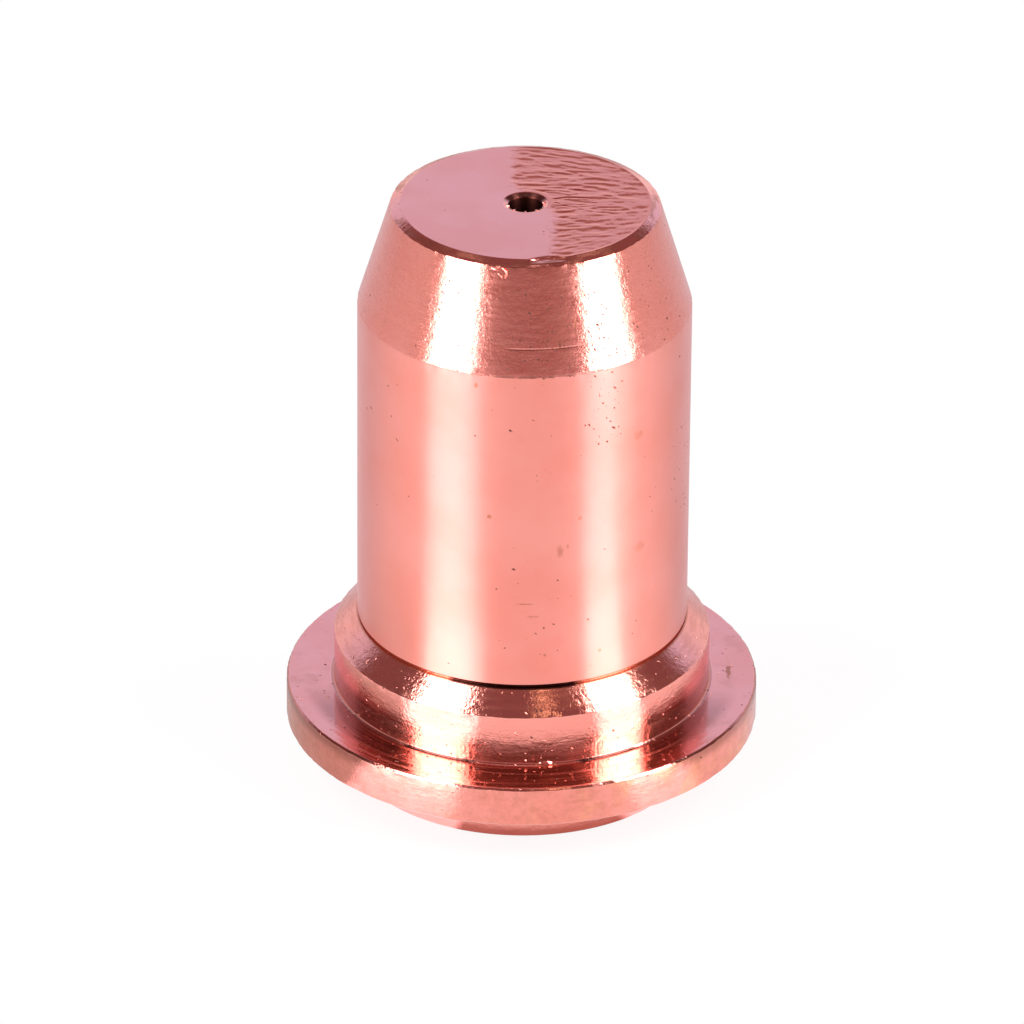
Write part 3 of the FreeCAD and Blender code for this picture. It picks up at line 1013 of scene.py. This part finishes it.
# %% Film and pits
FILM_ANGLES = (8, 70)
FILM = 0.7
CREST_ANGLES = (-24, 27)
CREST_CHIPS = 0.63
film = product(tree, on_rim, window(tree, fields["angle"], *FILM_ANGLES, 8),
               ramp(tree, noise(tree, fields["place"], 0.9), 0.45, 0.6, 0.0, FILM))
pits, beads = pit_field(tree, fields)
crest = window(tree, fields["height"], BARREL_HIGH - 0.01, BARREL_HIGH + 0.04, 0.02)
chips = product(tree, crest, ramp(tree, fields["grain"], 0.35, 0.55, 0.0, CREST_CHIPS),
                window(tree, fields["angle"], *CREST_ANGLES, 9))
pits = greatest(tree, pits, chips)
print("film from", FILM_ANGLES[0], "to", FILM_ANGLES[1], "degrees")

# %% [markdown]
# ## Relief of the walls
# The streaks and a fine grain are a few thousandths of a millimetre deep, and most of that is
# rubbed away on the barrel. Beads stand out of it, and so does one small drop of metal at the
# collar's foot. All of it is too small for the mesh, so it only bends the light, as a bump.

# %% Relief
STREAK_DEPTH = 0.002
LOW_STREAK_DEPTH = 0.005
GRAIN_DEPTH = 0.009
LEFT_ON_BARREL = 0.2
DROP_HEIGHT = 0.05
relief = product(tree, streak, ramp(tree, is_low, 0, 1, STREAK_DEPTH, LOW_STREAK_DEPTH))
relief = maths(tree, "MULTIPLY_ADD", fields["grain"], GRAIN_DEPTH, relief)
relief = product(tree, relief, ramp(tree, on_barrel, 0, 1, 1.0, LEFT_ON_BARREL))
relief = maths(tree, "MULTIPLY_ADD", beads, BEAD_HEIGHT, relief)
drop_reach = spot(tree, fields, 7.4, 0.07, COLLAR_R, (0.22, 1.0, 0.07))
drop = ramp(tree, maths(tree, "POWER", drop_reach, 2.0), 0.0, 1.0, 1.0, 0.0)
relief = maths(tree, "MULTIPLY_ADD", drop, DROP_HEIGHT, relief)
dress_copper(tree, shader, fields, roughness, dirt_and_shade, pits, relief, painted_shade, film, ORANGE_FILM)
print("turned walls:", len(tree.nodes), "nodes")

# %% [markdown]
# ## The faced flats
# The flat face, both sides of the flange and the rear face were cut across, so their rings
# lie side by side and are finer. They reflect more evenly than the walls do. The flange's
# front is glossier still, but for dull rings at its front, where it was rubbed.

# %% Gloss and rings of the flats
FACED_ROUGHNESS = 0.17
LOW_FACED_ROUGHNESS = 0.09
RUBBED_ANGLES = (-50, 50)
RUBBED_DULLNESS = 0.16
RING_DEPTH = 0.0006
RUBBED_RING_DEPTH = 0.009
faced_copper, tree, shader = start_copper("faced_copper", FACED_ROUGHNESS, 0.3)
fields = place_fields(tree)
low_flat = ramp(tree, fields["rise"], 1.0, 2.0, 1.0, 0.0)
ring = rings(tree, fields, 7.0)
pits, beads = pit_field(tree, fields, unrolled=False)
rubbed = product(tree, low_flat, window(tree, fields["angle"], *RUBBED_ANGLES, 15))
gloss = ramp(tree, low_flat, 0, 1, FACED_ROUGHNESS, LOW_FACED_ROUGHNESS)
lines = product(tree, rubbed, ramp(tree, ring, 0.45, 0.65))
gloss = maths(tree, "MULTIPLY_ADD", lines, RUBBED_DULLNESS, gloss)
relief = product(tree, ring, ramp(tree, rubbed, 0, 1, RING_DEPTH, RUBBED_RING_DEPTH))
relief = maths(tree, "MULTIPLY_ADD", beads, BEAD_HEIGHT, relief)
print("roughness: face", FACED_ROUGHNESS, "flange", LOW_FACED_ROUGHNESS)

# %% [markdown]
# ## Dirt and painted shade on the flats
# The flange's front is smudged in places and has one dark smear at its right end. Beside the
# collar it is painted near black as shade, but not where it mirrors the two white strips. The
# half of the flat face where the tool shook is scuffed: the same slanted line as in the mesh
# ends it.

# %% Dirt and painted shade on the flats
SMUDGE = 0.3
SMEAR = 0.9
BESIDE_SHADE = 0.4
STRIP_ANGLES = (17, 36)
smudge = ramp(tree, noise(tree, fields["place"], 1.3, detail=3.0), 0.5, 0.8, 0.0, SMUDGE)
smear_reach = spot(tree, fields, 91, 0.0, 6.3, (0.6, 0.1, 1.0))
smear_reach = maths(tree, "MULTIPLY_ADD", fields["grain"], 2.0, smear_reach)
smudge = greatest(tree, product(tree, smudge, low_flat),
                  ramp(tree, smear_reach, 1.4, 2.0, SMEAR, 0.0))
in_strip = window(tree, fields["off_front"], *STRIP_ANGLES, 3)
# Painted shade on the flange beside the collar.
beside = product(tree, window(tree, fields["radius"], COLLAR_R - 0.1, COLLAR_R + 0.6, 0.5),
                 ramp(tree, fields["off_front"], 66, 84, BESIDE_SHADE, 0.0),
                 maths(tree, "SUBTRACT", low_flat, in_strip))
edge = ramp(tree, fields["y"], *SHAKEN_FROM_ALONG, *SHAKEN_FROM_ACROSS)
past_edge = maths(tree, "MULTIPLY_ADD", fields["grain"], -1.0, fields["x"])
past_edge = maths(tree, "SUBTRACT", past_edge, edge)
scuffed = product(tree, ramp(tree, past_edge, -0.1, 0.3), maths(tree, "SUBTRACT", 1.0, low_flat))
dress_copper(tree, shader, fields, gloss, smudge, pits, relief, beside, scuffed)
print("faced flats:", len(tree.nodes), "nodes")

# %% [markdown]
# ## The bore
# A drill and a boring bar leave deeper rings than a finishing tool, and nobody polishes them.
# The bore is rougher and darker all over, and the orifice is painted near black as shade.

# %% Bore
BORED_ROUGHNESS = 0.35
BORED_DARKENING = (0.5, 0.8)
BORED_RING_DEPTH = 0.008
bored_copper, tree, shader = start_copper("bored_copper", BORED_ROUGHNESS, 0.6)
fields = place_fields(tree)
streak = streaks(tree, fields, 0.1, 4.0, detail=2.0)
dirt_and_shade = ramp(tree, noise(tree, fields["place"], 0.8, detail=3.0), 0.3, 0.7, *BORED_DARKENING)
# The orifice's near black is painted shade.
painted_shade = window(tree, fields["radius"], 0.0, ORIFICE_R + 0.06, 0.1)
relief = product(tree, streak, BORED_RING_DEPTH)
dress_copper(tree, shader, fields, BORED_ROUGHNESS, dirt_and_shade, 0.0, relief, painted_shade)
print("bore:", len(tree.nodes), "nodes")

# %% [markdown]
# ## Making the nozzle
# The tree becomes a modifier on the section curve. Its inputs are set by their identifiers
# before Blender works it out for the first time, and the result is taken as a plain mesh.
# After that the modifier and the curve object aren't needed any more.

# %% Turn it
SETTINGS = {
    "Points Around": AROUND,
    "Chatter Depth": 0.027,
    "Edge Wear": 0.03,
    "Nick Depth": 0.06,
    "Turned Finish": turned_copper,
    "Faced Finish": faced_copper,
    "Bored Finish": bored_copper,
}
blank = bpy.data.objects.new("nozzle_blank", section_curve)
bpy.context.scene.collection.objects.link(blank)
modifier = blank.modifiers.new("turning", "NODES")
modifier.node_group = lathe
for item in interface.items_tree:
    if item.in_out == "INPUT" and item.name in SETTINGS:
        modifier[item.identifier] = SETTINGS[item.name]
bpy.context.view_layer.update()
evaluated = blank.evaluated_get(bpy.context.evaluated_depsgraph_get())
skin_mesh = bpy.data.meshes.new_from_object(evaluated)
blank.modifiers.remove(modifier)
bpy.data.objects.remove(blank)
print(f"skin: {len(skin_mesh.vertices)} points, {len(skin_mesh.polygons)} faces,",
      f"{len(skin_mesh.materials)} finishes")

# %% [markdown]
# ## Hanging the skin on the frame
# The skin rides on the frame's one body and stands for the imported solid, which is hidden.

# %% Hang it
skin = bpy.data.objects.new("nozzle_skin", skin_mesh)
bpy.context.scene.collection.objects.link(skin)
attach(skin, "root")
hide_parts("nozzle")

# %% [markdown]
# ## A studio on a dome
# Copper shows its surroundings, so the studio is planned by direction, as seen from the
# nozzle: an azimuth, 0 on the camera's side and growing to its right, and an elevation. Cards
# that cover a range of directions then put a highlight exactly where the real one is.

# %% Dome helpers
STUDIO_R = 0.42


def on_dome(azimuth, elevation, distance):
    """The point at this distance in this direction from the nozzle."""
    a, e = math.radians(azimuth), math.radians(elevation)
    flat = distance * math.cos(e)
    return flat * math.sin(a), -flat * math.cos(a), distance * math.sin(e)


print("studio radius", STUDIO_R, "m")

# %% Stage materials


def stage_material(name, lamp=False):
    """A bare material for the stage. Only a lamp is sought out by the light rays."""
    material = bpy.data.materials.new(name)
    material.use_nodes = True
    material.node_tree.nodes.clear()
    material.cycles.emission_sampling = "AUTO" if lamp else "NONE"
    return material, material.node_tree


def glow(tree, colour, strength):
    node = add(tree, "ShaderNodeEmission")
    feed(tree, node.inputs["Color"], colour)
    feed(tree, node.inputs["Strength"], strength)
    return node.outputs[0]


def shown(tree, shader, kind="ShaderNodeOutputMaterial"):
    out = add(tree, kind)
    feed(tree, out.inputs["Surface"], shader)


def card_material(name, colour, strength):
    material, tree = stage_material(name, lamp=True)
    shown(tree, glow(tree, (*colour, 1.0), strength))
    return material


print("a card's material only glows")

# %% Cards on the dome


def dome_card(name, edges, distance, material, columns=12, rows=4):
    """A curved card that covers a range of directions, unseen by the camera itself.

    `edges` lists elevation, first and last azimuth from the bottom up, with rows in between.
    """
    levels = []
    for lower, upper in zip(edges, edges[1:]):
        levels += [Vector(lower).lerp(Vector(upper), row / rows) for row in range(rows)]
    levels.append(Vector(edges[-1]))
    points, faces = [], []
    for elevation, first, last in levels:
        for column in range(columns + 1):
            points.append(on_dome(first + (last - first) * column / columns, elevation, distance))
    for row in range(len(levels) - 1):
        for column in range(columns):
            corner = row * (columns + 1) + column
            faces.append((corner, corner + 1, corner + columns + 2, corner + columns + 1))
    mesh = bpy.data.meshes.new(name)
    mesh.from_pydata(points, [], faces)
    mesh.materials.append(material)
    card = bpy.data.objects.new(name, mesh)
    bpy.context.scene.collection.objects.link(card)
    card.visible_camera = False
    card.visible_shadow = False


print("cards can be set anywhere on the dome")

# %% [markdown]
# ## Softboxes and lamp
# Two tall softboxes stand at the sides and give the two white strips. Their edges lean, so
# that the strips end where they do on the nose and on the collar. One small warm lamp high up
# gives the narrow glint on the shoulder and at the collar's root.

# %% Softboxes and lamp
SOFTBOX_STRENGTH = 11.0
LAMP_STRENGTH = 4.0
# Each level gives elevation, first azimuth and last azimuth, from the bottom up.
SOFTBOX_LEFT = ((0, -64, -37), (10, -64, -37), (28, -65, -32.5), (48, -78, -44), (66, -94, -55))
SOFTBOX_RIGHT = ((0, 44, 73), (28, 48, 78), (48, 58, 88), (66, 70, 102))
softbox = card_material("softbox", (1.0, 1.0, 1.0), SOFTBOX_STRENGTH)
dome_card("softbox_left", SOFTBOX_LEFT, STUDIO_R, softbox)
dome_card("softbox_right", SOFTBOX_RIGHT, STUDIO_R, softbox)
lamp = card_material("lamp", (1.0, 0.85, 0.55), LAMP_STRENGTH)
dome_card("lamp_high", ((48, 19, 22.5), (68, 19, 22.5)), STUDIO_R, lamp, columns=2)
print("softboxes of strength", SOFTBOX_STRENGTH)

# %% [markdown]
# ## The backdrop
# A pale sheet hangs behind the nozzle, bluish higher up. The flat face reflects it.

# %% Backdrop
BACKDROP_R = STUDIO_R * 1.2
BACKDROP_LOW = (0.98, 0.98, 1.02, 1.0)
BACKDROP_HIGH = (0.74, 0.86, 1.18, 1.0)


def dome_fields(tree, distance):
    """Azimuth and elevation of the point on a dome, in degrees."""
    coordinates = add(tree, "ShaderNodeTexCoord")
    x, y, z = parted(tree, coordinates.outputs["Object"])
    sine = maths(tree, "DIVIDE", z, distance)
    return turn_angle(tree, x, y), maths(tree, "DEGREES", maths(tree, "ARCSINE", sine))


backdrop, tree = stage_material("backdrop")
_, elevation = dome_fields(tree, BACKDROP_R)
hanging = mixed(tree, ramp(tree, elevation, 8, 26), BACKDROP_LOW, BACKDROP_HIGH)
shown(tree, glow(tree, hanging, 1.0))
dome_card("backdrop", ((0, 120, 240), (34, 120, 240)), BACKDROP_R, backdrop)
print("backdrop from azimuth 120 to 240")

# %% [markdown]
# ## The room
# Behind the camera the room is dark, and low down it takes on some of the copper's own glow.
# It is lighter above the softboxes, at the sides and behind the backdrop. Pale walls stand
# low at the sides, and the middle of the ceiling is pale, which only shows from above.

# %% Room
ROOM_R = 0.62
ROOM_LOW = (0.40, 0.20, 0.20, 1.0)
ROOM_MIDDLE = (0.075, 0.06, 0.045, 1.0)
ROOM_HIGH = (0.24, 0.125, 0.13, 1.0)
ROOM_BACK = (0.42, 0.34, 0.38, 1.0)
WALL = (0.95, 0.92, 0.94, 1.0)
WALLS_TURN = 6.0
room, tree = stage_material("room")
azimuth, elevation = dome_fields(tree, ROOM_R)
off_camera = maths(tree, "ABSOLUTE", azimuth)
dark = mixed(tree, ramp(tree, elevation, 8, 24), ROOM_LOW, ROOM_MIDDLE)
sideways = product(tree, ramp(tree, off_camera, 84, 100), ramp(tree, elevation, 20, 27))
dark = mixed(tree, greatest(tree, sideways, ramp(tree, elevation, 36, 44)), dark, ROOM_HIGH)
back = product(tree, ramp(tree, off_camera, 155, 166), ramp(tree, elevation, 44, 55, 1.0, 0.0))
dark = mixed(tree, back, dark, ROOM_BACK)
dark = mixed(tree, ramp(tree, elevation, 79, 84), dark, WALL)
off_walls = maths(tree, "ABSOLUTE", maths(tree, "SUBTRACT", azimuth, WALLS_TURN))
aside = product(tree, ramp(tree, off_walls, 68, 92), ramp(tree, elevation, 8, 20, 1.0, 0.0))
shown(tree, glow(tree, mixed(tree, aside, dark, WALL), 1.0))
dome_card("room", ((0, -180, 180), (90, -180, 180)), ROOM_R, room, columns=64, rows=16)
print("room radius", ROOM_R, "m")

# %% [markdown]
# ## The floor
# The floor is white paper. In the nozzle's reflections it has painted light from the
# softboxes in two sectors, with a brighter painted arc near the collar, takes the backdrop's
# bluish tint behind the nozzle, has painted shade under the flange and darker painted shade
# under the spigot, and far out it ends.

# %% Floor sheet
FLOOR_R = 1.2
bpy.ops.mesh.primitive_circle_add(vertices=96, radius=FLOOR_R, fill_type="TRIFAN")
floor = bpy.context.object
floor.name = "floor"
paper, tree = stage_material("paper")
place = scaled(tree, add(tree, "ShaderNodeTexCoord").outputs["Object"], 1 / MM)
x, y, _ = parted(tree, place)
reach = length(tree, place)
azimuth = turn_angle(tree, x, y)
print("floor radius", FLOOR_R, "m")

# %% What reflections see of the floor
PAPER_R = 0.11
FLOOR_FRONT = (0.96, 0.89, 0.91, 1.0)
FLOOR_BACK = (0.62, 0.60, 0.66, 1.0)
FLOOR_FAR = (0.45, 0.27, 0.27, 1.0)
FLOOR_UNDER = (0.42, 0.24, 0.22, 1.0)
FLOOR_CLOSED = (0.05, 0.03, 0.03, 1.0)
FLOOR_ASIDE = (0.52, 0.50, 0.47, 1.0)
FLOOR_LIT = (1.70, 1.50, 1.66, 1.0)
FLOOR_GLARE = (4.5, 4.5, 4.5, 1.0)
behind = ramp(tree, maths(tree, "ABSOLUTE", azimuth), 80, 130)
sheet = mixed(tree, behind, FLOOR_FRONT, FLOOR_BACK)
# Painted shade under the flange.
under = ramp(tree, reach, SPIGOT_R + 0.35, SPIGOT_R + 0.75, 1, 0)
sheet = mixed(tree, under, sheet, FLOOR_UNDER)
# Painted light of the softboxes in two sectors, with a painted glare near the collar.
lit = mixed(tree, ramp(tree, reach, 13.4, 14.4), window(tree, azimuth, -57, -24, 4),
            window(tree, azimuth, -60, -32, 7))
lit = greatest(tree, lit, window(tree, azimuth, 42, 58, 7))
sheet = mixed(tree, lit, sheet, FLOOR_LIT)
glare = product(tree, lit, window(tree, reach, 12.1, 14.4, 0.9))
sheet = mixed(tree, glare, sheet, FLOOR_GLARE)
patch = product(tree, window(tree, azimuth, -115, -60, 3), ramp(tree, reach, 13, 15, 1, 0))
sheet = mixed(tree, patch, sheet, FLOOR_ASIDE)
# Darker painted shade under the spigot.
closed = ramp(tree, reach, SPIGOT_R - 0.6, SPIGOT_R - 0.1, 1, 0)
sheet = mixed(tree, closed, sheet, FLOOR_CLOSED)
far = ramp(tree, reach, PAPER_R / MM * 0.6, PAPER_R / MM * 1.4)
sheet = mixed(tree, far, sheet, FLOOR_FAR)
print("paper ends about", PAPER_R, "m out")

# %% [markdown]
# ## What the camera sees of the floor
# To the camera the floor is exactly white, so it glows at strength 1 for those rays, and near
# the nozzle a share of plain paper keeps its shadow.

# %% Floor for the camera
WHITE = (1.0, 1.0, 1.0, 1.0)
GLOW_SHARE = 0.85
path = add(tree, "ShaderNodeLightPath").outputs
matt = add(tree, "ShaderNodeBsdfDiffuse")
matt.inputs["Color"].default_value = (0.8, 0.8, 0.8, 1.0)


def blended(share, first, second):
    node = add(tree, "ShaderNodeMixShader")
    for socket, value in zip(node.inputs, (share, first, second)):
        feed(tree, socket, value)
    return node.outputs[0]


mirrored = greatest(tree, path["Is Glossy Ray"], path["Is Transmission Ray"])
unseen = blended(product(tree, mirrored, GLOW_SHARE), matt.outputs[0],
                 glow(tree, sheet, 1.0))
plain = ramp(tree, reach, 10, 16, GLOW_SHARE, 1.0)
plain = maths(tree, "SUBTRACT", plain, product(tree, closed, GLOW_SHARE))
plain = blended(plain, matt.outputs[0], glow(tree, WHITE, 1.0))
shown(tree, blended(path["Is Camera Ray"], unseen, plain))
floor.data.materials.append(paper)
print("glow near the nozzle:", GLOW_SHARE)

# %% [markdown]
# ## The world
# Beyond the floor the camera sees plain white. Metal and glass would see the same white, but
# the room stands in front of it. The room and the cards throw no shadow, so the world also
# lights the plain paper, at a fifth of that strength, and the nozzle's shadow lies on it.

# %% World
PAPER_LIGHT = 0.2
world = bpy.data.worlds.new("studio")
bpy.context.scene.world = world
world.use_nodes = True
tree = world.node_tree
tree.nodes.clear()
path = add(tree, "ShaderNodeLightPath").outputs
seen = greatest(tree, path["Is Camera Ray"], path["Is Glossy Ray"])
seen = greatest(tree, seen, path["Is Transmission Ray"])
white = add(tree, "ShaderNodeBackground")
feed(tree, white.inputs["Strength"], ramp(tree, seen, 0.0, 1.0, PAPER_LIGHT, 1.0))
shown(tree, white.outputs[0], "ShaderNodeOutputWorld")
print("world is white to the camera")

# %% [markdown]
# ## The camera
# The photograph was taken from about 28 degrees above, from some distance with a long lens.
# The camera first stands on a line through the nozzle's middle, and is then turned a little
# so that the nozzle lies in the frame as it does in the photograph, with a slight roll.

# %% Camera
CAMERA_ELEVATION = 28.1
CAMERA_DISTANCE = 0.2964
CAMERA_ROLL = 0.47
CAMERA_LENS = 346.4
PIVOT = Vector((0, 0, (FLANGE_TOP + 7.62) * MM))
AIM = Vector((-0.33 * MM, 0, (FLANGE_TOP + 5.54) * MM))
camera_data = bpy.data.cameras.new("camera")
camera_data.lens = CAMERA_LENS
camera_data.sensor_width = 36.0
camera_data.clip_start = 0.01
camera = bpy.data.objects.new("camera", camera_data)
bpy.context.scene.collection.objects.link(camera)
stand = PIVOT + Vector(on_dome(0, CAMERA_ELEVATION, CAMERA_DISTANCE))
facing = (AIM - stand).to_track_quat("-Z", "Y").to_matrix().to_4x4()
camera.matrix_world = (Matrix.Translation(stand) @ facing
                       @ Matrix.Rotation(math.radians(CAMERA_ROLL), 4, "Z"))
bpy.context.scene.camera = camera
bpy.context.scene.view_settings.view_transform = "Standard"
print(f"camera {CAMERA_DISTANCE} m away, {CAMERA_ELEVATION} degrees up")
